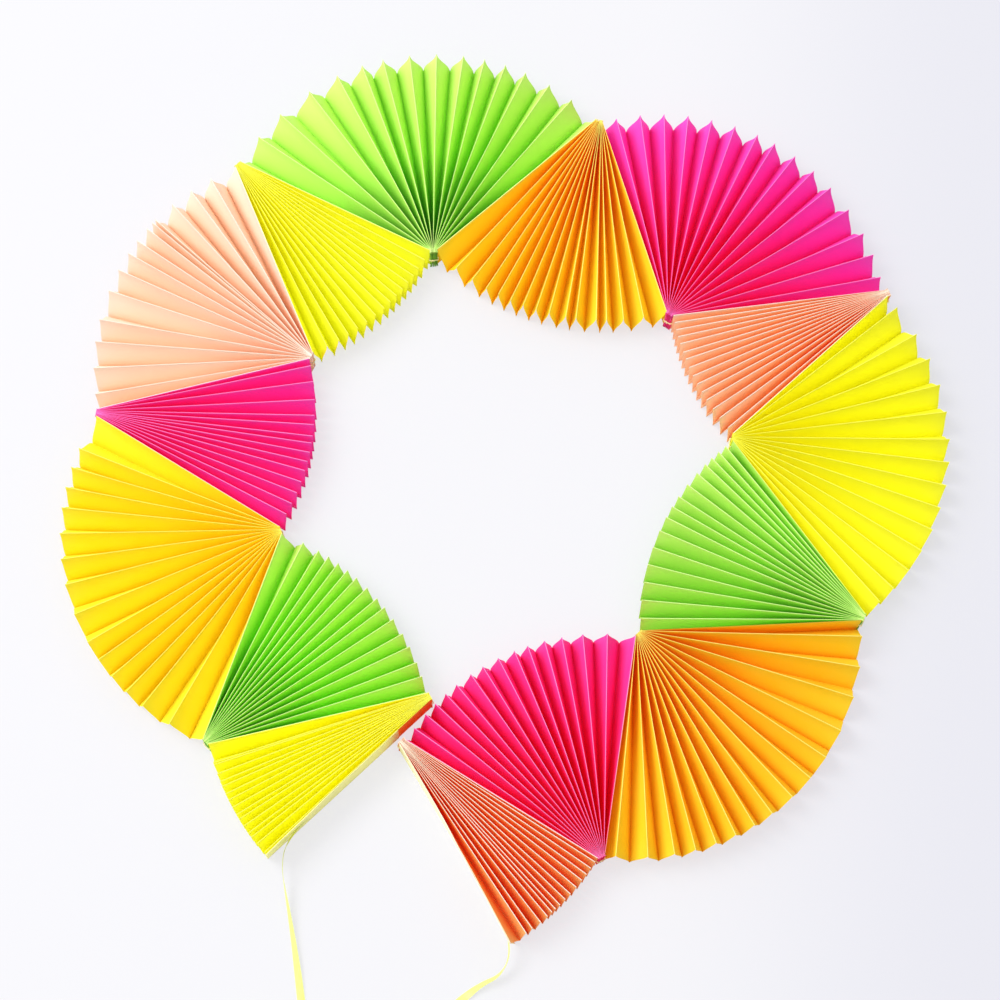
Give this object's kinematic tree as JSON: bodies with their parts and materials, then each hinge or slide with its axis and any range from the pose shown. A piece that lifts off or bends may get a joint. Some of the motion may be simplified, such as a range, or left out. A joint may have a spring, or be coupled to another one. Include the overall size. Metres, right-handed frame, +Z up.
{
  "type": "pleated paper fan garland",
  "caption": "Garland of pleated paper fans glued side to side with their bound ends alternately in and out, laid flat in an open ring, with an end card and a ribbon at each end.",
  "frame": {"origin": "centre of the fans' outline seen from above, on the surface that the garland lies on", "axes": "+Z up, away from the surface; the open side of the ring and both ribbons are towards -Y; the ring goes from end a on the -X side round +Y to end b"},
  "size_m": [0.796, 0.9715, 0.038],
  "materials": {
    "yellow_paper": "dyed smooth paper",
    "green_paper": "dyed smooth paper",
    "gold_paper": "dyed smooth paper",
    "pink_paper": "dyed smooth paper",
    "peach_paper": "dyed smooth paper",
    "card": "stiff pale yellow card",
    "ribbon": "flat woven ribbon",
    "thread": "twisted thread"
  },
  "bodies": {
    "root": {"fan_01": "yellow_paper", "fan_02": "green_paper", "fan_03": "gold_paper", "fan_04": "pink_paper", "fan_05": "peach_paper", "fan_06": "yellow_paper", "fan_07": "green_paper", "fan_08": "gold_paper", "fan_09": "pink_paper", "fan_10": "peach_paper", "fan_11": "yellow_paper", "fan_12": "green_paper", "fan_13": "gold_paper", "fan_14": "pink_paper", "fan_15": "peach_paper", "tie_01": "thread", "tie_02": "thread", "tie_03": "thread", "tie_04": "thread", "tie_05": "thread", "tie_06": "thread", "tie_07": "thread", "tie_08": "thread", "tie_09": "thread", "tie_10": "thread", "tie_11": "thread", "tie_12": "thread", "tie_13": "thread", "tie_14": "thread", "tie_15": "thread", "end_card_a": "card", "end_card_b": "card", "ribbon_a": "ribbon", "ribbon_a_coil": "ribbon", "ribbon_b": "ribbon", "ribbon_b_coil": "ribbon"}
  },
  "joints": []
}
